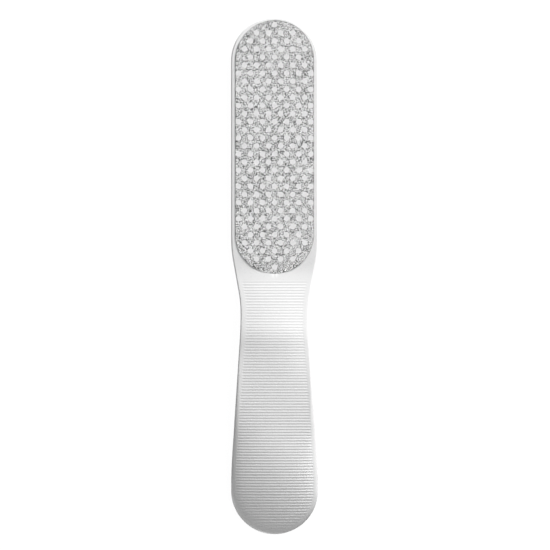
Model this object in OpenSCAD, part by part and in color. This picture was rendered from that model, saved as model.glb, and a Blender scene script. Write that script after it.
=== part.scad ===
// Double-sided foot file: a moulded handle in two shells, with an abrasive plate let into each
// face of its head. The file lies on its fine side. Z = 0 is the plane that it rests on, the head
// points to +Y and the coarse side faces +Z. X = 0 is the plane of symmetry.

/* [Handle outline] */
// Length of the whole file
file_length = 255; // [225:1:300]
// Width of the head
head_width = 42.9; // [38:0.1:56]
// Width of the neck at its narrowest
neck_width = 33.5; // [26:0.1:37]
// Width of the grip at its widest
grip_width = 42.8; // [38:0.1:56]
// From the plate's lower end down to the narrowest place
neck_drop = 20.1; // [14:0.1:30]
// Stretch of parallel sides next to the grip's round end
grip_flat = 4; // [1:0.1:10]

/* [Handle thickness] */
// Thickness of the head between its rims
head_thickness = 5.8; // [5.2:0.1:9]
// Thickness of the grip at its crest
grip_thickness = 11.5; // [10:0.1:16]
// Thickness at the very end of the grip
end_thickness = 3.4; // [3.4:0.1:5]
// How far above the plate's lower end the climb to the grip starts
rise_lead = 5; // [0:0.5:6]
// Length over which the front climbs to the crest
rise_length = 39; // [36:1:60]
// Length over which the front falls from the crest to the end
fall_length = 47; // [36:0.5:60]
// Length over which the back lifts towards the end
lift_length = 32; // [20:1:45]
// How much lower the grip's front is at its sides than along its middle
front_crown = 2; // [0.2:0.1:3.4]
// The same at the crest, where the front is flattest across
crest_crown = 0.3; // [0:0.1:2]
// From the plate's lower end down to the crest's flattest place
crest_drop = 61; // [50:1:70]
// How far from that place the front is crowned in full
crest_reach = 34; // [20:1:45]
// How much higher the grip's back is at its sides than along its middle
back_crown = 0.7; // [0.2:0.1:1]

/* [Rounded edges] */
// Width of the rounding along the head and neck
head_round_width = 0.8; // [0.5:0.1:1.9]
// Height of the rounding along the head and neck
head_round_height = 0.9; // [0.5:0.1:1.6]
// Width of the rounding along the grip
grip_round_width = 7; // [3:0.1:8]
// Height of the rounding along the grip's front
front_round_height = 2.2; // [2:0.1:6]
// Height of the rounding along the grip's back
back_round_height = 2; // [1:0.1:3]
// From the grip's end to where its edges start to soften
soften_start = 92; // [66:1:100]
// From the grip's end to where its edges are softest
soften_end = 10; // [8:1:60]
// Least height of the upright band between a rounding and the seam
edge_land = 0.4; // [0.2:0.1:0.8]

/* [Abrasive plates] */
// Length of a plate
plate_length = 124.9; // [105:0.1:135]
// Bare rim beside a plate
side_rim = 2.05; // [1.8:0.05:4]
// Bare rim at the head's tip
tip_rim = 1.5; // [1.2:0.1:4]
// Thickness of the steel sheet
plate_thickness = 0.5; // [0.3:0.05:0.8]
// Thickness of the adhesive sheet under it
tape_thickness = 0.2; // [0.1:0.05:0.3]
// Thickness of the abrasive coat on it
grit_thickness = 0.2; // [0.1:0.05:0.3]
// How far the abrasive stands proud of the rim
plate_stand = 0.4; // [0.2:0.05:0.5]
// How much smaller the adhesive is than its plate all round
tape_inset = 1; // [0.5:0.1:3]
// Gap between a plate and the wall of its seat
seat_gap = 0.1; // [0.05:0.05:0.3]

/* [Round islands in the abrasive] */
// Diameter of an island
island_d = 2.9; // [1.5:0.1:3.4]
// Distance between islands along a row
island_pitch = 5.94; // [5:0.01:9]
// Distance between rows
row_pitch = 3.98; // [3.6:0.01:7]
// From a plate's side to the middle of the outermost islands
island_side_margin = 1.55; // [1.5:0.05:4]
// From a plate's end to the middle of the outermost island
island_end_margin = 2.4; // [2.3:0.1:5]
// How far the pattern sits nearer the tip than the plate's middle
island_shift = 0.5; // [0:0.1:0.8]

/* [Inside the handle] */
// Wall of the shells round the hollow
wall = 2; // [1.6:0.1:2.2]
// From the grip's end to the hollow
hollow_end_gap = 15; // [12:0.5:30]
// Thickness of the stiffening webs
web = 1.6; // [1:0.1:2.5]
// Greatest distance between two cross webs
web_pitch = 24; // [15:0.5:40]
// Diameter of a locating peg
peg_d = 3; // [2:0.1:4]
// Height of a locating peg
peg_length = 1.3; // [0.8:0.1:1.5]
// Width of the boss round a peg or a socket
boss_margin = 1.6; // [1.2:0.1:3]
// Play between a peg and its socket
peg_play = 0.1; // [0.05:0.05:0.2]

/* [Hidden] */
$fn = 72;
overrun = 1;
front = 1;
back = -1;

// Stations of the handle's mesh
arc_steps = 12;
grip_steps = 30;
shoulder_steps = 10;
round_steps = 6;
columns = 9;
middle = (columns + 1) / 2;

// How gently each change of width or height starts and ends
shoulder_ease_share = 0.3;
grip_ease_share = 0.15;
rise_ease_share = 0.2;
crest_ease_share = 0.5;
soften_ease_share = 0.4;
fall_power = 2.2;
lift_power = 2;
corner_share = 0.4;

// How full a rounded edge is: 2 is a quarter of an ellipse, and more is fuller
round_power = 2.5;

// Lengthwise places
head_tip_y = file_length / 2;
grip_end_y = -file_length / 2;
head_arc_y = head_tip_y - head_width / 2;
grip_arc_y = grip_end_y + grip_width / 2;
plate_width = head_width - 2 * side_rim;
plate_y = head_tip_y - tip_rim - plate_length / 2;
plate_low_y = plate_y - plate_length / 2;
shoulder_y = plate_low_y + plate_width / 2 - side_rim;
neck_y = plate_low_y - neck_drop;
widest_y = grip_arc_y + grip_flat;
rise_y = plate_low_y + rise_lead;
fall_y = grip_end_y + fall_length;
crest_y = plate_low_y - crest_drop;
lift_y = grip_end_y + lift_length;
pattern_y = plate_y + island_shift;

// Heights
back_rim_z = plate_stand;
front_rim_z = plate_stand + head_thickness;
seam_z = (back_rim_z + front_rim_z) / 2;
end_front_z = seam_z + end_thickness / 2;
end_back_z = seam_z - end_thickness / 2;
seat_depth = tape_thickness + plate_thickness + grit_thickness - plate_stand;

// Hollow of the grip
hollow_low_y = grip_end_y + hollow_end_gap;
hollow_length = neck_y - hollow_low_y;
bays = ceil(hollow_length / web_pitch);
bay = hollow_length / bays;
boss_d = peg_d + 2 * boss_margin;
socket_d = peg_d + 2 * peg_play;
socket_depth = peg_length + peg_play;
head_peg_y = [plate_y - plate_length / 3, plate_y, plate_y + plate_length / 3];
grip_peg_y = [for (k = [1:bays - 1]) hollow_low_y + k * bay];

// A change from 0 to 1 that is even in the middle and eased over a share of t at both ends
function eased(t, share) =
    t <= 0 ? 0
    : t >= 1 ? 1
    : t < share ? t * t / (2 * share * (1 - share))
    : t > 1 - share ? 1 - (1 - t) * (1 - t) / (2 * share * (1 - share))
    : (t - share / 2) / (1 - share);

function between(low, high, t) = low + (high - low) * t;

// Half the handle's width between its two round ends
function half_width(y) =
    y > neck_y
    ? between(neck_width, head_width,
              eased((y - neck_y) / (shoulder_y - neck_y), shoulder_ease_share)) / 2
    : between(neck_width, grip_width,
              eased((neck_y - y) / (neck_y - widest_y), grip_ease_share)) / 2;

// Height of the front along its middle
function front_line(y) =
    between(front_rim_z, grip_thickness, eased((rise_y - y) / rise_length, rise_ease_share))
    - (grip_thickness - end_front_z) * pow(max(0, fall_y - y) / fall_length, fall_power);

// Height of the back along its middle
function back_line(y) =
    between(back_rim_z, 0, eased((rise_y - y) / rise_length, rise_ease_share))
    + end_back_z * pow(max(0, lift_y - y) / lift_length, lift_power);

// How much lower the front is at its sides where the grip is fully grown: least at the crest
function crown_height(y) =
    between(crest_crown, front_crown, eased(abs(y - crest_y) / crest_reach, crest_ease_share));

// Height of either face before its edges are rounded
function face_z(side, x, y) =
    let (across = x / (grip_width / 2),
         growth = eased((rise_y - y) / rise_length, rise_ease_share) * across * across)
    side == front ? front_line(y) - crown_height(y) * growth : back_line(y) + back_crown * growth;

// How far the soft edges of the grip have taken over from the crisp ones of the head
function softness(y) =
    eased((grip_end_y + soften_start - y) / (soften_start - soften_end), soften_ease_share);

function round_width(y) = between(head_round_width, grip_round_width, softness(y));

function round_height(side, x, y) =
    min(between(head_round_height, side == front ? front_round_height : back_round_height,
                softness(y)),
        abs(face_z(side, x, y) - seam_z) - edge_land);

// Rows of the mesh from the grip's end to the head's tip: [middle of the arc, radius, angle] on the
// round ends and [place] along the sides
rows = concat(
    [for (k = [0:arc_steps - 1]) [grip_arc_y, grip_width / 2, (k + 1 / 2) * 90 / arc_steps - 90]],
    [for (k = [0:grip_steps]) [between(grip_arc_y, neck_y, k / grip_steps)]],
    [for (k = [1:shoulder_steps]) [between(neck_y, shoulder_y, k / shoulder_steps)]],
    [[head_arc_y]],
    [for (k = [0:arc_steps - 1]) [head_arc_y, head_width / 2, (k + 1 / 2) * 90 / arc_steps]]);
last = len(rows) - 1;
loop = 2 * len(rows);

// Point of a row that lies inset from the outline on the +X side
function outline_point(row, inset) =
    len(row) > 1
    ? [(row[1] - inset) * cos(row[2]), row[0] + (row[1] - inset) * sin(row[2])]
    : [half_width(row[0]) - inset, row[0]];

// Point of a row on the rounding, from angle 0 at the outline to 90 on the face
function round_point(side, row, angle, hand) =
    let (edge = outline_point(row, 0),
         at = outline_point(row, round_width(edge[1]) * (1 - pow(cos(angle), 2 / round_power))),
         drop = round_height(side, edge[0], edge[1]) * (1 - pow(sin(angle), 2 / round_power)))
    [hand * at[0], at[1], face_z(side, at[0], at[1]) - side * drop];

function seam_point(row, hand) =
    let (edge = outline_point(row, 0))
    [hand * edge[0], edge[1], seam_z];

function face_point(side, row, column) =
    let (edge = outline_point(row, 0),
         at = outline_point(row, round_width(edge[1])),
         x = at[0] * (1 - column / middle))
    [x, at[1], face_z(side, x, at[1])];

// Index of a point on the face: column 0 and the last one belong to the innermost loop
function face_index(row, column) =
    column == 0 ? (round_steps + 1) * loop + row
    : column == columns + 1 ? (round_steps + 1) * loop + loop - 1 - row
    : (round_steps + 2) * loop + (row - 1) * columns + column - 1;

function shell_points(side) = concat(
    [for (row = rows) seam_point(row, 1)],
    [for (k = [last:-1:0]) seam_point(rows[k], -1)],
    [for (step = [0:round_steps])
        each concat(
            [for (row = rows) round_point(side, row, step * 90 / round_steps, 1)],
            [for (k = [last:-1:0]) round_point(side, rows[k], step * 90 / round_steps, -1)])],
    [for (k = [1:last - 1], column = [1:columns]) face_point(side, rows[k], column)]);

edge_faces = [for (ring = [0:round_steps], k = [0:loop - 1])
    let (next = (k + 1) % loop)
    [ring * loop + k, (ring + 1) * loop + k, (ring + 1) * loop + next, ring * loop + next]];

seam_faces = [for (k = [0:last - 1]) [k, k + 1, loop - 2 - k, loop - 1 - k]];

middle_faces = [for (k = [1:last - 2], c = [0:columns])
    [face_index(k, c), face_index(k, c + 1), face_index(k + 1, c + 1), face_index(k + 1, c)]];

// Fans that close the face at the grip's end and at the head's tip
end_faces = concat(
    [for (c = [0:columns])
        [face_index(0, c < middle ? 0 : columns + 1), face_index(1, c + 1), face_index(1, c)]],
    [[face_index(0, 0), face_index(0, columns + 1), face_index(1, middle)]]);
tip_faces = concat(
    [for (c = [0:columns])
        [face_index(last, c < middle ? 0 : columns + 1),
         face_index(last - 1, c), face_index(last - 1, c + 1)]],
    [[face_index(last, 0), face_index(last - 1, middle), face_index(last, columns + 1)]]);

front_faces = concat(edge_faces, seam_faces, middle_faces, end_faces, tip_faces);

function turned(face) = [for (k = [len(face) - 1:-1:0]) face[k]];

// One half of the handle, solid, from the seam to its face
module half_body(side)
    polyhedron(points = shell_points(side),
               faces = side == front ? front_faces : [for (face = front_faces) turned(face)],
               convexity = 4);

// Half the width of the grip's hollow, which leaves the wall and the rounding their room
function hollow_half_width(y) =
    (y < grip_arc_y ? sqrt(pow(grip_width / 2, 2) - pow(grip_arc_y - y, 2)) : half_width(y))
    - wall - round_width(y) * corner_share;

hollow_rows = [for (k = [0:grip_steps]) between(hollow_low_y, neck_y, k / grip_steps)];
hollow_share = [-1, -0.5, 0, 0.5, 1];
across = len(hollow_share);

function hollow_points(side) = concat(
    [for (y = hollow_rows, share = hollow_share)
        [share * hollow_half_width(y), y, seam_z - side * overrun]],
    [for (y = hollow_rows, share = hollow_share)
        let (x = share * hollow_half_width(y))
        [x, y, face_z(side, x, y) - side * wall]]);

hollow_count = len(hollow_rows) * across;
hollow_faces = concat(
    [for (k = [0:grip_steps - 1], c = [0:across - 2])
        [k * across + c, k * across + c + 1, (k + 1) * across + c + 1, (k + 1) * across + c]],
    [for (k = [0:grip_steps - 1], c = [0:across - 2])
        [hollow_count + k * across + c, hollow_count + (k + 1) * across + c,
         hollow_count + (k + 1) * across + c + 1, hollow_count + k * across + c + 1]],
    [for (k = [0:grip_steps - 1])
        [k * across, (k + 1) * across, hollow_count + (k + 1) * across, hollow_count + k * across]],
    [for (k = [1:grip_steps])
        [(k + 1) * across - 1, k * across - 1,
         hollow_count + k * across - 1, hollow_count + (k + 1) * across - 1]],
    [for (c = [0:across - 2]) [c + 1, c, hollow_count + c, hollow_count + c + 1]],
    [for (c = [0:across - 2])
        let (k = grip_steps * across + c)
        [k, k + 1, hollow_count + k + 1, hollow_count + k]]);

module hollow(side)
    polyhedron(points = hollow_points(side),
               faces = side == front ? hollow_faces : [for (face = hollow_faces) turned(face)],
               convexity = 4);

// Stiffening webs and bosses that stand in the hollow
module webs() {
    reach = grip_thickness + overrun;
    translate([-web / 2, hollow_low_y - overrun, -overrun])
        cube([web, hollow_length + 2 * overrun, reach + overrun]);
    for (y = grip_peg_y) {
        translate([-grip_width / 2, y - web / 2, -overrun])
            cube([grip_width, web, reach + overrun]);
        translate([0, y, -overrun])
            cylinder(d = boss_d, h = reach + overrun);
    }
}

module pockets(side)
    difference() {
        hollow(side);
        webs();
    }

module at_pegs()
    for (y = concat(head_peg_y, grip_peg_y))
        translate([0, y, seam_z])
            children();

module stadium(width, length) {
    run = length - width;
    square([width, run], center = true);
    for (end = [-1, 1])
        translate([0, end * run / 2])
            circle(d = width);
}

// Shallow seat of a plate, cut from its rim into the head
module seat(side)
    translate([0, plate_y, side == front ? front_rim_z - seat_depth : back_rim_z - overrun])
        linear_extrude(seat_depth + overrun)
            stadium(plate_width + 2 * seat_gap, plate_length + 2 * seat_gap);

// Islands of one plate: every place of a staggered lattice that lies inside the pattern's outline
module islands() {
    zone_r = plate_width / 2 - island_side_margin;
    zone_reach = plate_length / 2 - island_end_margin;
    row_count = floor(zone_reach / row_pitch);
    column_count = ceil(zone_r / island_pitch);
    for (row = [-row_count:row_count], column = [-column_count:column_count]) {
        x = (column + (row % 2 == 0 ? 1 / 2 : 0)) * island_pitch;
        y = row * row_pitch;
        if (norm([x, max(0, abs(y) - zone_reach + zone_r)]) <= zone_r)
            translate([x, y + island_shift])
                circle(d = island_d);
    }
}

// Layers of one side, given by the height of their lower face
module layer(z, thickness)
    translate([0, plate_y, z])
        linear_extrude(thickness)
            children();

module tape(z)
    color("Khaki")
        layer(z, tape_thickness)
            stadium(plate_width - 2 * tape_inset, plate_length - 2 * tape_inset);

module plate(z)
    color("Silver")
        layer(z, plate_thickness)
            stadium(plate_width, plate_length);

module grit(z, shade)
    color(shade)
        layer(z, grit_thickness)
            difference() {
                stadium(plate_width, plate_length);
                islands();
            }

module front_shell()
    color("White") {
        difference() {
            half_body(front);
            seat(front);
            pockets(front);
        }
        at_pegs()
            translate([0, 0, -peg_length])
                cylinder(d = peg_d, h = peg_length + overrun);
    }

module back_shell()
    color("White")
        difference() {
            half_body(back);
            seat(back);
            pockets(back);
            at_pegs()
                translate([0, 0, -socket_depth])
                    cylinder(d = socket_d, h = socket_depth + overrun);
        }

module coarse_tape() tape(front_rim_z - seat_depth);
module coarse_plate() plate(front_rim_z - seat_depth + tape_thickness);
module coarse_grit() grit(front_rim_z + plate_stand - grit_thickness, "DarkGray");
module fine_tape() tape(grit_thickness + plate_thickness);
module fine_plate() plate(grit_thickness);
module fine_grit() grit(0, "LightGray");

back_shell();
fine_tape();
fine_plate();
fine_grit();
front_shell();
coarse_tape();
coarse_plate();
coarse_grit();
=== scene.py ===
"""Foot file: the looks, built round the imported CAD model.

Lengths are written in millimetres, in the CAD's frame, unless a comment gives another unit.
+Z points out of the coarse side and +Y towards the head's tip.
"""

import math

import bmesh
import bpy
import numpy as np
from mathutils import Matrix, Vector
from mathutils.geometry import delaunay_2d_cdt


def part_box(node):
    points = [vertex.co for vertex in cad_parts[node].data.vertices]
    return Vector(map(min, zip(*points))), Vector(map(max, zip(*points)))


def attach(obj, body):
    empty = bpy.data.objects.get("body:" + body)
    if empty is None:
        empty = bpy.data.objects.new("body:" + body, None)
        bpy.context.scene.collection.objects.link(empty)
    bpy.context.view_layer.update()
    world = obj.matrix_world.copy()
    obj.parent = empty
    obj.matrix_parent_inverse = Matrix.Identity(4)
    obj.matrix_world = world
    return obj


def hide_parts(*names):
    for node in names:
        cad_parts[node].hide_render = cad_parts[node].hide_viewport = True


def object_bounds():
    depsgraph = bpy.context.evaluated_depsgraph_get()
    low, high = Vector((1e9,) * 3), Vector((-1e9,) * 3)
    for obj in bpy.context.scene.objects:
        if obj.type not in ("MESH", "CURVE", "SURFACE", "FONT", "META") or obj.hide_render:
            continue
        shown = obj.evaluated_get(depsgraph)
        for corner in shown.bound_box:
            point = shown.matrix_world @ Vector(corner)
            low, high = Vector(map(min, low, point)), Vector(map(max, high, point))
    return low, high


MM = 0.001

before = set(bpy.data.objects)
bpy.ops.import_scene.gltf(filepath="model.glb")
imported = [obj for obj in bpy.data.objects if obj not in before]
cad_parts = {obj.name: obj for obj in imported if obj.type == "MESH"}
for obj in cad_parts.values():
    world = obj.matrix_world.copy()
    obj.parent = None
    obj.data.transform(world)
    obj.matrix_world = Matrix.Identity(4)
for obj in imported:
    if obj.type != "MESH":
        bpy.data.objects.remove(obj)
CAD_LOW, CAD_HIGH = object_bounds()


def span(node):
    """Lowest and highest corner of a CAD node, in millimetres."""
    low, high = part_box(node)
    return np.array(low) / MM, np.array(high) / MM


# Outline, as in the part's source
HEAD_TIP_Y = CAD_HIGH.y / MM
GRIP_END_Y = CAD_LOW.y / MM
HEAD_RADIUS = 21.45
GRIP_RADIUS = 21.4
NECK_WIDTH = 33.5
NECK_DROP = 20.1
GRIP_FLAT = 4
SHOULDER_EASE = 0.3
GRIP_EASE = 0.15

# Seats for the plates
PLATE_LOW, PLATE_HIGH = span("coarse_plate")
PLATE_RADIUS = (PLATE_HIGH[0] - PLATE_LOW[0]) / 2
SIDE_RIM = 2.05
SEAT_GAP = 0.04
SEAT_FILLET = 0.1

# Heights
FRONT_RIM_Z = 6.2
BACK_RIM_Z = 0.4
SEAM_Z = 3.3
GRIP_THICKNESS = 11.5
END_FRONT_Z = 5
END_BACK_Z = 1.6
RISE_LEAD = 5
RISE_LENGTH = 39
RISE_EASE = 0.2
FALL_LENGTH = 47
FALL_POWER = 2.2
LIFT_LENGTH = 32
LIFT_POWER = 2
FRONT_CROWN = 2
CREST_CROWN = 0.3
CREST_DROP = 61
CREST_REACH = 34
CREST_EASE = 0.5
BACK_CROWN = 0.7

# Rounded edges
ROUND_POWER = 2.5
HEAD_ROUND_WIDTH = 0.8
HEAD_ROUND_HEIGHT = 0.9
GRIP_ROUND_WIDTH = 7
FRONT_ROUND_HEIGHT = 2.2
BACK_ROUND_HEIGHT = 2
SOFTEN_START = 92
SOFTEN_END = 10
SOFTEN_EASE = 0.4
EDGE_LAND = 0.4
SEAM_GROOVE = 0.15

# Ribbed panel on both faces of the grip
RIB_PITCH = 1.394
RIB_START_HEIGHT = 0.078
RIB_END_HEIGHT = 0.118
RIB_GROWTH_LENGTH = 100
RIB_GROWTH_POWER = 2
RIB_START_Y = -1.27
RIB_START_LENGTH = 3
RIB_INSET = 0.5
RIB_FADE = 0.9
PANEL_STEP = 0.04
PANEL_STEP_WIDTH = 1.2
PANEL_START_LENGTH = 20
PANEL_HOLLOW = 9
GRIP_BORDER = 1.35
NECK_BORDER = 1.9
NECK_BORDER_REACH = 45

# Islands of bare plate
ISLAND_RADIUS = 1.45
ISLAND_PITCH = 5.94
ROW_PITCH = 3.98
ISLAND_SIDE_MARGIN = 1.55
ISLAND_END_MARGIN = 2.4
ISLAND_SHIFT = 0.5
ISLAND_SIDES = 20

# Abrasive coats: a grain's spacing and size, the least share of its height that a corner reaches, the seed
COARSE_SPACING = 0.46
COARSE_GRAIN = 0.63
COARSE_LEAST_HEIGHT = 0.4
COARSE_SEED = 11
FINE_SPACING = 0.42
FINE_GRAIN = 0.47
FINE_LEAST_HEIGHT = 0.6
FINE_SEED = 12
BOND_SHARE = 0.2
GRAIN_FOOT_INSET = 0.02
GRAIN_TOP_INSET = 0.08

# A grain's place and form: shares of the spacing, the size or the height, and a turn in radians
GRAIN_JITTER = 0.34
ISLAND_CLEARANCE = 0.1
EDGE_CLEARANCE = 0.2
GRAIN_SIDES = 3
GRAIN_TURN = 0.35
GRAIN_SIZES = (0.8, 1.2)
GRAIN_CORNERS = (0.8, 1.15)
GRAIN_TOPS = (0.6, 0.92)
GRAIN_HEIGHTS = (0.75, 1)

# Tones of the bond and the grains, from 0 for dark to 1 for light, and the share of dark grains. The
# bond's low tone is painted shade: it darkens the gaps between the grains, where shade falls.
PAINTED_SHADE_BOND_TONE = 0.08
GRAIN_TONES = (0.84, 1)
DARK_GRAIN_TONE = 0.0
DARK_GRAIN_SHARE = 0.19

# Noise in the materials: the range that it mostly spans, its detail, and its plain unstretched space
NOISE_RANGE = (0.3, 0.7)
SOFT_NOISE = 2
FULL_NOISE = 3
EVEN = (1, 1, 1)

# Materials: greys and colours, noise scales per metre, and bumps as a strength and a depth in metres
PLASTIC_DARK = 0.86
PLASTIC_LIGHT = 0.89
PLASTIC_CLOUDS = 60
PLASTIC_PATCHES = 900
PLASTIC_TEXTURE = 5200
PLASTIC_ROUGHNESS = (0.26, 0.34)
PLASTIC_IOR = 1.49
PLASTIC_BUMP = (0.12, 0.00001)
STEEL_DARK = 0.67
STEEL_LIGHT = 0.75
STEEL_CLOUDS = 300
STEEL_LINES = 3500
STEEL_LINE_STRETCH = (1, 0.08, 1)
STEEL_ROUGHNESS = (0.16, 0.26)
STEEL_BUMP = (0.15, 0.00001)
COARSE_DARK = 0.04
COARSE_LIGHT = 0.98
COARSE_MOTTLE = 3000
FINE_DARK = 0.06
FINE_LIGHT = 0.92
FINE_MOTTLE = 5000
COAT_MOTTLE_TONES = (-0.12, 0.12)
COAT_ROUGHNESS = (0.4, 0.6)
COAT_METALLIC = 0.7
COAT_TEXTURE_RATIO = 3
COAT_BUMP = (0.3, 0.00003)
ADHESIVE_DARK = (0.8, 0.78, 0.68)
ADHESIVE_LIGHT = (0.88, 0.86, 0.78)
ADHESIVE_CLOUDS = 400
ADHESIVE_ROUGHNESS = (0.55, 0.75)
ADHESIVE_BUMP = (0.2, 0.00002)

# Stage: floor and camera in millimetres, but for the camera's far limit, which is in metres
WHITE = (1, 1, 1, 1)
WORLD_LIGHT = 0.02
FLOOR_SIZE = 6000
FLOOR_Z = -0.05
FLOOR_DARK = 0.15
FLOOR_LIGHT = 0.16
FLOOR_CLOUDS = 40
FLOOR_ROUGHNESS = 0.9
FLOOR_GLOW = 0.97
CAMERA_LENS = 200
CAMERA_SENSOR = 36
CAMERA_X = 0.17
CAMERA_Y = 0.44
CAMERA_Z = 1512
CAMERA_FAR = 10

# Lamps: distance and size in metres, then each lamp's azimuth and elevation in degrees, and its watts
LAMP_DISTANCE = 1.6
LAMP_SIZE = 0.5
LAMPS = [
    ("key", 60, 17, 47.5),
    ("top", 0, 65, 5.5),
    ("low", 300, 22, 1.2),
    ("end", 258, 3, 5),
    ("left", 208, 5, 5.5),
]

# Mesh density, and the angle from which an edge is shaded sharp
HALF_COLUMNS = 48
BORDER_COLUMNS = 24
BORDER_ZONE = 1.5
ROWS_PER_RIB = 7
TIP_STEPS = 40
SEAT_STEPS = 30
SIDE_ROW_STEP = 3
FIRST_TIP_ANGLE = math.radians(1.5)
LEAST_ROW_GAP = 0.004
END_ROW_PITCHES = 3
SHARP_ANGLE = math.radians(38)

# Tolerances, and the step over which a slope is taken. The weld's is in metres.
WELD = 1e-8
ROW_TOLERANCE = 1e-6
CUT_TOLERANCE = 1e-6
SLOPE_STEP = 0.01
NOT_ZERO = 1e-9

# Values that follow from these
HEAD_ARC_Y = HEAD_TIP_Y - HEAD_RADIUS
GRIP_ARC_Y = GRIP_END_Y + GRIP_RADIUS
WIDEST_Y = GRIP_ARC_Y + GRIP_FLAT
PLATE_LOW_Y = PLATE_LOW[1]
PLATE_Y = (PLATE_LOW[1] + PLATE_HIGH[1]) / 2
PLATE_HALF_LENGTH = (PLATE_HIGH[1] - PLATE_LOW[1]) / 2
PLATE_REACH = PLATE_HALF_LENGTH - PLATE_RADIUS
SHOULDER_Y = PLATE_LOW_Y + PLATE_RADIUS - SIDE_RIM
NECK_Y = PLATE_LOW_Y - NECK_DROP
RISE_Y = PLATE_LOW_Y + RISE_LEAD
FALL_Y = GRIP_END_Y + FALL_LENGTH
LIFT_Y = GRIP_END_Y + LIFT_LENGTH
CREST_Y = PLATE_LOW_Y - CREST_DROP
SEAT_RADIUS = PLATE_RADIUS + SEAT_GAP
SEAT_LOW_Y = PLATE_LOW_Y - SEAT_GAP
SEAT_TOP_Y = PLATE_HIGH[1] + SEAT_GAP


def between(a, b, t):
    """The value at share t of the way from a to b."""
    return a + (b - a) * t


def eased(t, s):
    """0 to 1 with a straight middle and a parabola over the share s at each end."""
    t = np.clip(t, 0, 1)
    grade = 1 / (1 - s)
    first = t * t * grade / (2 * s)
    last = 1 - (1 - t) ** 2 * grade / (2 * s)
    return np.where(t < s, first, np.where(t > 1 - s, last, (t - s / 2) * grade))


def smooth(t):
    """0 to 1, level at both ends."""
    t = np.clip(t, 0, 1)
    return t * t * (3 - 2 * t)


def side_width(y):
    """Half width between the two end arcs."""
    to_head = between(NECK_WIDTH / 2, HEAD_RADIUS,
                      eased((y - NECK_Y) / (SHOULDER_Y - NECK_Y), SHOULDER_EASE))
    to_grip = between(NECK_WIDTH / 2, GRIP_RADIUS,
                      eased((NECK_Y - y) / (NECK_Y - WIDEST_Y), GRIP_EASE))
    return np.where(y > NECK_Y, to_head, to_grip)


def chord(radius, centre, y):
    """Half width at y of a circle round centre."""
    return np.sqrt(np.maximum(0, radius ** 2 - (y - centre) ** 2))


def outline_x(y, inset=0.0):
    """Half width of the outline at y, drawn in by inset."""
    x = np.maximum(0, side_width(y) - inset)
    x = np.where(y > HEAD_ARC_Y, chord(HEAD_RADIUS - inset, HEAD_ARC_Y, y), x)
    return np.where(y < GRIP_ARC_Y, chord(GRIP_RADIUS - inset, GRIP_ARC_Y, y), x)


def edge_distance(x, y):
    """Distance inside the outline: radial on the end arcs, straight across on the sides."""
    d = side_width(y) - np.abs(x)
    d = np.where(y > HEAD_ARC_Y, HEAD_RADIUS - np.hypot(x, y - HEAD_ARC_Y), d)
    return np.where(y < GRIP_ARC_Y, GRIP_RADIUS - np.hypot(x, y - GRIP_ARC_Y), d)


def past_seat_sides(y):
    """How far y lies beyond the middle of the seat's nearer end arc, 0 between the two."""
    low, high = SEAT_LOW_Y + SEAT_RADIUS, SEAT_TOP_Y - SEAT_RADIUS
    return np.maximum(0, np.maximum(y - high, low - y))


def seat_x(y):
    """Half width of the plate's seat at y, 0 outside it."""
    return np.sqrt(np.maximum(0, SEAT_RADIUS ** 2 - past_seat_sides(y) ** 2))


def seat_distance(x, y):
    """Distance outside the seat's wall."""
    return np.hypot(x, past_seat_sides(y)) - SEAT_RADIUS


def quarter_round(d, width, height, power=2):
    """Drop of a rounded edge at distance d inside it. Above 2, power makes the round fuller."""
    reach = np.clip(1 - d / width, 0, 1)
    return height * (1 - (1 - reach ** power) ** (1 / power))


def centre_line(y, front):
    """Height of the face along the middle of the file."""
    rise = eased((RISE_Y - y) / RISE_LENGTH, RISE_EASE)
    if front:
        fall = np.maximum(0, FALL_Y - y) / FALL_LENGTH
        crest = between(FRONT_RIM_Z, GRIP_THICKNESS, rise)
        return crest - (GRIP_THICKNESS - END_FRONT_Z) * fall ** FALL_POWER
    lift = np.maximum(0, LIFT_Y - y) / LIFT_LENGTH
    return between(BACK_RIM_Z, 0, rise) + END_BACK_Z * lift ** LIFT_POWER


def plain_face(x, y, front):
    """Height of the crowned face before its edge is rounded."""
    growth = eased((RISE_Y - y) / RISE_LENGTH, RISE_EASE)
    away = eased(np.abs(y - CREST_Y) / CREST_REACH, CREST_EASE)
    crown = -between(CREST_CROWN, FRONT_CROWN, away) if front else BACK_CROWN
    return centre_line(y, front) + crown * growth * (x / GRIP_RADIUS) ** 2


def border_width(y):
    """Distance of the panel's step from the outline, wider at the neck."""
    nearness = smooth(1 - np.abs(y - NECK_Y) / NECK_BORDER_REACH)
    return between(GRIP_BORDER, NECK_BORDER, nearness)


def panel_depth(x, y):
    """How far the ribbed panel lies under the plain face: a step, a shallow hollow and the ribs."""
    inside = edge_distance(x, y) - border_width(y)
    start = smooth((RISE_Y - y) / PANEL_START_LENGTH)
    step = smooth(inside / PANEL_STEP_WIDTH + 0.5)
    hollow = 1 - smooth((inside - PANEL_STEP_WIDTH / 2) / PANEL_HOLLOW)
    ribbed = smooth((RIB_START_Y - y) / RIB_START_LENGTH) * smooth((inside - RIB_INSET) / RIB_FADE)
    wave = 0.5 - 0.5 * np.cos(2 * math.pi * (RIB_START_Y - y) / RIB_PITCH)
    growth = np.clip((RIB_START_Y - y) / RIB_GROWTH_LENGTH, 0, 1) ** RIB_GROWTH_POWER
    ribs = between(RIB_START_HEIGHT, RIB_END_HEIGHT, growth) * ribbed * wave
    return PANEL_STEP * start * step * hollow + ribs


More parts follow.
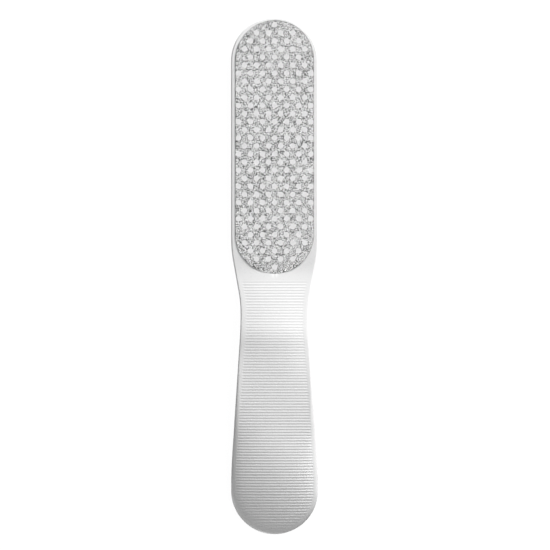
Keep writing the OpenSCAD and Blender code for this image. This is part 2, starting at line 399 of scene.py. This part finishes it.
def surface_z(x, y, front):
    """Height of the finished face at x, y."""
    sign = 1 if front else -1
    soft = eased((GRIP_END_Y + SOFTEN_START - y) / (SOFTEN_START - SOFTEN_END), SOFTEN_EASE)
    width = between(HEAD_ROUND_WIDTH, GRIP_ROUND_WIDTH, soft)
    height = between(HEAD_ROUND_HEIGHT, FRONT_ROUND_HEIGHT if front else BACK_ROUND_HEIGHT, soft)
    room = np.abs(plain_face(outline_x(y), y, front) - SEAM_Z) - EDGE_LAND
    drop = quarter_round(edge_distance(x, y), width, np.minimum(height, room), ROUND_POWER)
    drop = drop + quarter_round(seat_distance(x, y), SEAT_FILLET, SEAT_FILLET)
    return plain_face(x, y, front) - sign * (drop + panel_depth(x, y))


def arc_rows(tip, radius, inward, first, steps):
    """Rows over a quarter turn of an end arc, close together at its tip."""
    angles = np.linspace(first, math.pi / 2, steps)
    return list(tip + inward * radius * (1 - np.cos(angles)))


def shell_rows():
    """The rows' y, from the head's tip to the grip's end, with the seat's two tips among them."""
    keep = {SEAT_TOP_Y, SEAT_LOW_Y}
    head = arc_rows(HEAD_TIP_Y, HEAD_RADIUS, -1, FIRST_TIP_ANGLE, TIP_STEPS)
    head += arc_rows(SEAT_TOP_Y, SEAT_RADIUS, -1, 0, SEAT_STEPS)
    head += arc_rows(SEAT_LOW_Y, SEAT_RADIUS, 1, 0, SEAT_STEPS)
    sides = list(np.arange(SEAT_LOW_Y + SEAT_RADIUS, SEAT_TOP_Y - SEAT_RADIUS, SIDE_ROW_STEP))
    grip = list(np.arange(RIB_START_Y, GRIP_END_Y, -RIB_PITCH / ROWS_PER_RIB))
    end = arc_rows(GRIP_END_Y, GRIP_RADIUS, 1, FIRST_TIP_ANGLE, TIP_STEPS)
    end = [y for y in end if y - GRIP_END_Y < END_ROW_PITCHES * RIB_PITCH]
    rows = []
    for y in sorted(set(head + sides + grip + end) | keep, reverse=True):
        if y < GRIP_END_Y + ROW_TOLERANCE:
            continue
        if rows and rows[-1] - y < LEAST_ROW_GAP:
            if y not in keep:
                continue
            rows.pop()
        rows.append(y)
    return np.array(rows)


def half_columns(y):
    """Each row's x from the outline in to the middle, or to the seat's wall, as rows by columns."""
    edge = outline_x(y)[:, None]
    zone = outline_x(y, border_width(y) + BORDER_ZONE)[:, None]
    k = np.arange(HALF_COLUMNS + 1)[None, :]
    near = edge - (edge - zone) * (1 - np.cos(math.pi / 2 * k / BORDER_COLUMNS))
    far = zone * (1 - (k - BORDER_COLUMNS) / (HALF_COLUMNS - BORDER_COLUMNS))
    plain = np.where(k < BORDER_COLUMNS, near, far)
    inner = seat_x(y)[:, None]
    inner[(y >= SEAT_TOP_Y) | (y <= SEAT_LOW_Y)] = 0
    seated = edge - (edge - inner) * (1 - np.cos(math.pi * k / HALF_COLUMNS)) / 2
    share = smooth((y - SEAT_LOW_Y) / PANEL_START_LENGTH + 1)[:, None]
    return between(plain, seated, share)


def seam_inset(y, edge):
    """The outline's points drawn in by the seam groove, square to the outline."""
    slope = (outline_x(y + SLOPE_STEP) - outline_x(y - SLOPE_STEP)) / (2 * SLOPE_STEP)
    nx, ny = np.ones_like(y), -slope
    for on_arc, centre in ((y > HEAD_ARC_Y, HEAD_ARC_Y), (y < GRIP_ARC_Y, GRIP_ARC_Y)):
        nx = np.where(on_arc, edge, nx)
        ny = np.where(on_arc, y - centre, ny)
    size = np.hypot(nx, ny)
    return edge - SEAM_GROOVE * nx / size, y - SEAM_GROOVE * ny / size


def shell_mesh(front, seat_floor):
    """Vertices and faces of one moulded half: face, rounded edge, seam groove, seam and plate seat."""
    y = shell_rows()
    sign = 1 if front else -1
    x = half_columns(y)
    top = np.stack([x, np.repeat(y[:, None], x.shape[1], 1), surface_z(x, y[:, None], front)], -1)
    in_x, in_y = seam_inset(y, x[:, 0])
    seam = np.stack([in_x, in_y, np.full_like(y, SEAM_Z)], -1)[:, None]
    wall = np.stack([x[:, 0], y, np.full_like(y, SEAM_Z + sign * SEAM_GROOVE)], -1)[:, None]
    floor = np.stack([x[:, -1], y, np.full_like(y, seat_floor)], -1)[:, None]
    half = np.concatenate([seam, wall, top, floor], 1)
    mirror = half * np.array([-1, 1, 1])
    verts = np.concatenate([half, mirror], 1)
    count, width = verts.shape[:2]
    side = width // 2
    inner = side - 2
    index = np.arange(count * width).reshape(count, width)
    faces = []

    def strip(a, b, rows):
        """Faces between the columns a and b, from each of the rows to the next."""
        for i in rows:
            faces.append((index[i, a], index[i, b], index[i + 1, b], index[i + 1, a]))

    every = range(count - 1)
    seat = [i for i in every if y[i] <= SEAT_TOP_Y and y[i + 1] >= SEAT_LOW_Y]
    for offset in (0, side):
        for c in range(inner):
            strip(offset + c, offset + c + 1, every)
        strip(offset + inner, offset + inner + 1, seat)
    strip(0, side, every)
    strip(inner + 1, side + inner + 1, seat)
    for i in (0, count - 1):
        faces.append(tuple(index[i, :inner + 1]) + tuple(index[i, side:side + inner + 1][::-1]))
    return verts.reshape(-1, 3), faces


def make_object(name, verts, faces):
    """An object of one mesh, its points given in millimetres."""
    mesh = bpy.data.meshes.new(name)
    mesh.from_pydata([tuple(v) for v in np.asarray(verts) * MM], [], faces)
    obj = bpy.data.objects.new(name, mesh)
    bpy.context.scene.collection.objects.link(obj)
    return obj


def tidy_mesh(obj, weld):
    """Welds equal points, drops what is left loose and points every face outwards."""
    bm = bmesh.new()
    bm.from_mesh(obj.data)
    if weld:
        bmesh.ops.remove_doubles(bm, verts=bm.verts, dist=WELD)
    bmesh.ops.delete(bm, geom=[v for v in bm.verts if not v.link_faces], context="VERTS")
    bmesh.ops.recalc_face_normals(bm, faces=bm.faces)
    bm.to_mesh(obj.data)
    bm.free()


def fit_out(obj, node, material):
    """Gives a finished mesh its material, hangs it on the root body and hides the CAD node that it stands
    for.
    """
    obj.data.materials.append(material)
    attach(obj, "root")
    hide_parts(node)


def build_shell(name, node, front, seat_floor, material):
    """One moulded half, shaded smooth except at its sharp edges."""
    verts, faces = shell_mesh(front, seat_floor)
    obj = make_object(name, verts, faces)
    tidy_mesh(obj, weld=True)
    obj.data.shade_smooth()
    obj.data.set_sharp_from_angle(angle=SHARP_ANGLE)
    fit_out(obj, node, material)


def island_centres():
    """Middles of the round islands: staggered rows inside a smaller outline with round ends."""
    zone_radius = PLATE_RADIUS - ISLAND_SIDE_MARGIN
    zone_reach = PLATE_HALF_LENGTH - ISLAND_END_MARGIN
    found = []
    rows = int(zone_reach / ROW_PITCH)
    columns = int(zone_radius / ISLAND_PITCH) + 1
    for r in range(-rows, rows + 1):
        y = r * ROW_PITCH
        for c in range(-columns, columns + 1):
            x = (c + (0.5 if r % 2 == 0 else 0)) * ISLAND_PITCH
            if math.hypot(x, max(0, abs(y) - zone_reach + zone_radius)) <= zone_radius:
                found.append((x, PLATE_Y + ISLAND_SHIFT + y))
    return np.array(found)


def plate_outline():
    """The plate's round-ended outline as a loop of points."""
    steps = 2 * SEAT_STEPS
    loop = []
    for sign in (1, -1):
        for i in range(steps + 1):
            a = math.pi * i / steps
            loop.append((sign * PLATE_RADIUS * math.cos(a),
                         PLATE_Y + sign * (PLATE_REACH + PLATE_RADIUS * math.sin(a))))
    return loop


def within_plate(x, y, inset):
    """Points drawn in to the plate's outline less inset, where they lie outside it."""
    radius = PLATE_RADIUS - inset
    middle = PLATE_Y + np.clip(y - PLATE_Y, -PLATE_REACH, PLATE_REACH)
    share = np.minimum(1, radius / np.maximum(np.hypot(x, y - middle), NOT_ZERO))
    return x * share, middle + (y - middle) * share


def ring(x, y, radius, sides):
    """A round loop of points."""
    return [(x + radius * math.cos(2 * math.pi * i / sides),
             y + radius * math.sin(2 * math.pi * i / sides)) for i in range(sides)]


def coat_sheet(centres, low, high):
    """The bond under the grains: a thin sheet with a round opening at each island."""
    loops = [plate_outline()] + [ring(x, y, ISLAND_RADIUS, ISLAND_SIDES) for x, y in centres]
    points, edges = [], []
    for loop in loops:
        first = len(points)
        points += loop
        edges += [(first + i, first + (i + 1) % len(loop)) for i in range(len(loop))]
    flat, _, triangles, *_ = delaunay_2d_cdt([Vector(p) for p in points], edges, [], 0, CUT_TOLERANCE)
    flat = np.array([tuple(p) for p in flat])
    triangles = np.array([t for t in triangles if len(t) == 3])
    middle = flat[triangles].mean(1)
    past = np.maximum(0, np.abs(middle[:, 1] - PLATE_Y) - PLATE_REACH)
    kept = np.hypot(middle[:, 0], past) < PLATE_RADIUS
    away = np.hypot(*(middle[:, None] - centres[None]).transpose(2, 0, 1)).min(1)
    triangles = triangles[kept & (away > ISLAND_RADIUS * math.cos(math.pi / ISLAND_SIDES))]
    n = len(flat)
    verts = np.concatenate([np.column_stack([flat, np.full(n, z)]) for z in (low, high)])
    faces = [tuple(t) for t in triangles] + [tuple(t[::-1] + n) for t in triangles]
    faces += [(a, b, b + n, a + n) for a, b in edges]
    return verts, faces


def grain_places(rng, spacing, centres, island_clearance, edge_clearance):
    """Jittered staggered points over the plate, clear of its edge and of the islands."""
    height = spacing * math.sqrt(3) / 2
    columns, rows = int(PLATE_RADIUS / spacing) + 1, int(PLATE_HALF_LENGTH / height) + 1
    c, r = np.meshgrid(np.arange(-columns, columns + 1), np.arange(-rows, rows + 1))
    x = (c + 0.5 * (r % 2)).ravel() * spacing
    y = r.ravel() * height
    x = x + rng.uniform(-GRAIN_JITTER, GRAIN_JITTER, x.size) * spacing
    y = y + rng.uniform(-GRAIN_JITTER, GRAIN_JITTER, y.size) * spacing + PLATE_Y
    past = np.maximum(0, np.abs(y - PLATE_Y) - PLATE_REACH)
    kept = np.hypot(x, past) < PLATE_RADIUS - edge_clearance
    x, y = x[kept], y[kept]
    away = np.min([np.hypot(x - cx, y - cy) for cx, cy in centres], 0)
    kept = away > ISLAND_RADIUS + island_clearance
    return x[kept], y[kept]


def grains(rng, x, y, size, bottom, top, lowest):
    """Crushed grains: each a block of two uneven rings, the upper one smaller and tilted.
    bottom and top are heights. A corner stands at least the share lowest of the way between them, and
    then each grain is lowered as a whole by its own share of GRAIN_HEIGHTS."""
    n = x.size
    turn = rng.uniform(0, 2 * math.pi, n)[:, None]
    angle = turn + 2 * math.pi * np.arange(GRAIN_SIDES) / GRAIN_SIDES
    angle = angle + rng.uniform(-GRAIN_TURN, GRAIN_TURN, (n, GRAIN_SIDES))
    size = (size * rng.uniform(*GRAIN_SIZES, n))[:, None]
    outer = size / 2 * rng.uniform(*GRAIN_CORNERS, (n, GRAIN_SIDES))
    upper = outer * rng.uniform(*GRAIN_TOPS, (n, GRAIN_SIDES))
    share = rng.uniform(lowest, 1, (n, GRAIN_SIDES)) * rng.uniform(*GRAIN_HEIGHTS, n)[:, None]
    low = np.stack([*within_plate(x[:, None] + outer * np.cos(angle), y[:, None] + outer * np.sin(angle),
                                  GRAIN_FOOT_INSET), np.full((n, GRAIN_SIDES), bottom)], -1)
    high = np.stack([*within_plate(x[:, None] + upper * np.cos(angle), y[:, None] + upper * np.sin(angle),
                                   GRAIN_TOP_INSET), between(bottom, top, share)], -1)
    verts = np.concatenate([low, high], 1).reshape(-1, 3)
    s = GRAIN_SIDES
    shape = [(i, (i + 1) % s, s + (i + 1) % s, s + i) for i in range(s)]
    shape += [tuple(range(s, 2 * s)), tuple(range(s))[::-1]]
    faces = [tuple(2 * s * g + v for v in f) for g in range(n) for f in shape]
    dark = rng.uniform(0, 1, n) < DARK_GRAIN_SHARE
    tone = np.where(dark, DARK_GRAIN_TONE, rng.uniform(*GRAIN_TONES, n))
    return verts, faces, np.repeat(tone, 2 * s)


def build_abrasive(name, node, front, spacing, size, lowest, seed, material):
    """The bond and its grains in one mesh. Each grain's tone is kept in an attribute for its colour, and
    the bond's low tone there is painted shade between the grains.
    """
    rng = np.random.RandomState(seed)
    low, high = span(node)
    plate_z, tip_z = (low[2], high[2]) if front else (high[2], low[2])
    bond_z = between(plate_z, tip_z, BOND_SHARE)
    centres = island_centres()
    sheet_verts, sheet_faces = coat_sheet(centres, plate_z, bond_z)
    x, y = grain_places(rng, spacing, centres, ISLAND_CLEARANCE * size, EDGE_CLEARANCE * size)
    verts, faces, tone = grains(rng, x, y, size, between(plate_z, bond_z, 0.5), tip_z, lowest)
    first = len(sheet_verts)
    faces = sheet_faces + [tuple(first + v for v in f) for f in faces]
    obj = make_object(name, np.concatenate([sheet_verts, verts]), faces)
    mark = obj.data.attributes.new("tone", "FLOAT", "POINT")
    # The bond's points take a low tone: painted shade in the gaps between the grains.
    mark.data.foreach_set("value", np.concatenate([np.full(first, PAINTED_SHADE_BOND_TONE), tone]).astype(np.float32))
    tidy_mesh(obj, weld=False)
    fit_out(obj, node, material)


class Nodes:
    """Lays out the nodes of a material, or of the world, which has no surface shader."""

    def __init__(self, owner):
        owner.use_nodes = True
        self.owner = owner
        self.tree = owner.node_tree
        self.shader = self.tree.nodes.get("Principled BSDF")

    def add(self, kind, **values):
        """A new node. Each value sets a property of it, or else the input of that name."""
        node = self.tree.nodes.new(kind)
        for key, value in values.items():
            if hasattr(node, key):
                setattr(node, key, value)
            else:
                node.inputs[key.replace("_", " ")].default_value = value
        return node

    def link(self, a, b):
        self.tree.links.new(a, b)

    def place(self, scale):
        """Object space, each axis multiplied by its scale."""
        where = self.add("ShaderNodeTexCoord")
        mapping = self.add("ShaderNodeMapping")
        mapping.inputs["Scale"].default_value = scale
        self.link(where.outputs["Object"], mapping.inputs["Vector"])
        return mapping.outputs["Vector"]

    def noise(self, vector, scale, detail):
        node = self.add("ShaderNodeTexNoise", Scale=scale, Detail=detail)
        self.link(vector, node.inputs["Vector"])
        return node.outputs["Fac"]

    def ramp(self, value, low, high, a, b):
        """Maps value from low..high to a..b."""
        node = self.add("ShaderNodeMapRange", From_Min=low, From_Max=high, To_Min=a, To_Max=b)
        self.link(value, node.inputs["Value"])
        return node.outputs["Result"]

    def shade(self, factor, dark, light):
        """A colour between dark and light."""
        node = self.add("ShaderNodeMix", data_type="RGBA")
        for socket in node.inputs:
            if socket.name in "AB" and socket.type == "RGBA":
                socket.default_value = (*(dark if socket.name == "A" else light), 1)
        self.link(factor, node.inputs["Factor"])
        return next(s for s in node.outputs if s.type == "RGBA")

    def bump(self, height, strength, distance):
        node = self.add("ShaderNodeBump", Strength=strength, Distance=distance)
        self.link(height, node.inputs["Height"])
        self.link(node.outputs["Normal"], self.shader.inputs["Normal"])


def grey(level):
    return (level, level, level)


def new_material(name):
    return Nodes(bpy.data.materials.new(name))


def moulded_plastic(name):
    """White moulded plastic: satin gloss, a faint cloudiness and a very fine mould texture."""
    n = new_material(name)
    at = n.place(EVEN)
    cloud = n.noise(at, PLASTIC_CLOUDS, FULL_NOISE)
    patches = n.noise(at, PLASTIC_PATCHES, SOFT_NOISE)
    n.link(n.shade(cloud, grey(PLASTIC_DARK), grey(PLASTIC_LIGHT)), n.shader.inputs["Base Color"])
    n.link(n.ramp(patches, *NOISE_RANGE, *PLASTIC_ROUGHNESS), n.shader.inputs["Roughness"])
    n.shader.inputs["IOR"].default_value = PLASTIC_IOR
    n.bump(n.noise(at, PLASTIC_TEXTURE, SOFT_NOISE), *PLASTIC_BUMP)
    return n.owner


def plated_steel(name):
    """Nickel-plated sheet: satin, with fine rolling lines along it and soft cloudy patches."""
    n = new_material(name)
    lines = n.noise(n.place(STEEL_LINE_STRETCH), STEEL_LINES, FULL_NOISE)
    cloud = n.noise(n.place(EVEN), STEEL_CLOUDS, SOFT_NOISE)
    n.link(n.shade(cloud, grey(STEEL_DARK), grey(STEEL_LIGHT)), n.shader.inputs["Base Color"])
    n.link(n.ramp(lines, *NOISE_RANGE, *STEEL_ROUGHNESS), n.shader.inputs["Roughness"])
    n.shader.inputs["Metallic"].default_value = 1.0
    n.bump(lines, *STEEL_BUMP)
    return n.owner


def abrasive_coat(name, dark, light, scale):
    """Grains bonded in metal: each grain has its own tone, mottled at a finer scale, and the bond's dark
    tone is painted shade between the grains.
    """
    n = new_material(name)
    at = n.place(EVEN)
    tone = n.add("ShaderNodeAttribute", attribute_name="tone").outputs["Fac"]
    mottle = n.noise(at, scale, FULL_NOISE)
    mixed = n.add("ShaderNodeMath", operation="ADD")
    n.link(n.ramp(mottle, *NOISE_RANGE, *COAT_MOTTLE_TONES), mixed.inputs[0])
    n.link(tone, mixed.inputs[1])
    n.link(n.shade(mixed.outputs[0], grey(dark), grey(light)), n.shader.inputs["Base Color"])
    n.link(n.ramp(mottle, *NOISE_RANGE, *COAT_ROUGHNESS), n.shader.inputs["Roughness"])
    n.shader.inputs["Metallic"].default_value = COAT_METALLIC
    n.bump(n.noise(at, scale * COAT_TEXTURE_RATIO, SOFT_NOISE), *COAT_BUMP)
    return n.owner


def adhesive_sheet(name):
    """Acrylic adhesive: pale, matte, faintly cloudy."""
    n = new_material(name)
    cloud = n.noise(n.place(EVEN), ADHESIVE_CLOUDS, FULL_NOISE)
    n.link(n.shade(cloud, ADHESIVE_DARK, ADHESIVE_LIGHT), n.shader.inputs["Base Color"])
    n.link(n.ramp(cloud, *NOISE_RANGE, *ADHESIVE_ROUGHNESS), n.shader.inputs["Roughness"])
    n.bump(cloud, *ADHESIVE_BUMP)
    return n.owner


def dress_node(node, material):
    """Gives a carried-over CAD node its material."""
    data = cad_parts[node].data
    data.materials.clear()
    data.materials.append(material)


def seen_directly(n):
    """1 for camera, mirror and glass rays, 0 for the light that falls on surfaces."""
    path = n.add("ShaderNodeLightPath")
    most = path.outputs["Is Camera Ray"]
    for name in ("Is Glossy Ray", "Is Transmission Ray"):
        pick = n.add("ShaderNodeMath", operation="MAXIMUM")
        n.link(most, pick.inputs[0])
        n.link(path.outputs[name], pick.inputs[1])
        most = pick.outputs[0]
    return most


def make_world():
    """An even soft studio: white where it is seen, a plain grey level where it lights."""
    world = bpy.data.worlds.new("studio")
    bpy.context.scene.world = world
    n = Nodes(world)
    back = n.tree.nodes["Background"]
    back.inputs["Color"].default_value = WHITE
    n.link(n.ramp(seen_directly(n), 0, 1, WORLD_LIGHT, 1.0), back.inputs["Strength"])


def make_floor():
    """A pale floor that shows white to the camera and keeps the file's faint shadow."""
    half = FLOOR_SIZE / 2
    corners = [(x * half, y * half, FLOOR_Z) for x, y in ((-1, -1), (1, -1), (1, 1), (-1, 1))]
    floor = make_object("floor", corners, [(0, 1, 2, 3)])
    n = new_material("floor_paint")
    cloud = n.noise(n.place(EVEN), FLOOR_CLOUDS, SOFT_NOISE)
    n.link(n.shade(cloud, grey(FLOOR_DARK), grey(FLOOR_LIGHT)), n.shader.inputs["Base Color"])
    n.shader.inputs["Roughness"].default_value = FLOOR_ROUGHNESS
    n.shader.inputs["Specular IOR Level"].default_value = 0.0
    n.shader.inputs["Emission Color"].default_value = WHITE
    n.link(n.ramp(seen_directly(n), 0, 1, 0, FLOOR_GLOW), n.shader.inputs["Emission Strength"])
    floor.data.materials.append(n.owner)


def make_camera():
    """A long lens that looks straight down on the coarse side."""
    data = bpy.data.cameras.new("camera")
    data.lens = CAMERA_LENS
    data.sensor_width = CAMERA_SENSOR
    data.clip_end = CAMERA_FAR
    camera = bpy.data.objects.new("camera", data)
    camera.location = (CAMERA_X * MM, CAMERA_Y * MM, CAMERA_Z * MM)
    bpy.context.scene.collection.objects.link(camera)
    bpy.context.scene.camera = camera


def make_lamp(name, azimuth, elevation, power):
    """A square soft lamp that faces the file. Azimuth turns from +X towards +Y."""
    data = bpy.data.lights.new(name, "AREA")
    data.size = LAMP_SIZE
    data.energy = power
    lamp = bpy.data.objects.new(name, data)
    a, e = math.radians(azimuth), math.radians(elevation)
    away = Vector((math.cos(a) * math.cos(e), math.sin(a) * math.cos(e), math.sin(e)))
    lamp.location = away * LAMP_DISTANCE
    lamp.rotation_mode = "QUATERNION"
    lamp.rotation_quaternion = away.to_track_quat("Z", "Y")
    bpy.context.scene.collection.objects.link(lamp)


white_front = moulded_plastic("white_plastic_front")
white_back = moulded_plastic("white_plastic_back")
steel = plated_steel("plated_steel")
coarse = abrasive_coat("coarse_abrasive", COARSE_DARK, COARSE_LIGHT, COARSE_MOTTLE)
fine = abrasive_coat("fine_abrasive", FINE_DARK, FINE_LIGHT, FINE_MOTTLE)
adhesive = adhesive_sheet("adhesive")

front_seat_z = span("coarse_tape")[0][2]
back_seat_z = span("fine_tape")[1][2]
build_shell("front_moulding", "front_shell", True, front_seat_z, white_front)
build_shell("back_moulding", "back_shell", False, back_seat_z, white_back)
build_abrasive("coarse_coat", "coarse_grit", True,
               COARSE_SPACING, COARSE_GRAIN, COARSE_LEAST_HEIGHT, COARSE_SEED, coarse)
build_abrasive("fine_coat", "fine_grit", False,
               FINE_SPACING, FINE_GRAIN, FINE_LEAST_HEIGHT, FINE_SEED, fine)
for node, material in (("coarse_plate", steel), ("fine_plate", steel),
                       ("coarse_tape", adhesive), ("fine_tape", adhesive)):
    dress_node(node, material)

make_world()
make_floor()
make_camera()
for lamp in LAMPS:
    make_lamp(*lamp)
bpy.context.scene.view_settings.view_transform = "Standard"
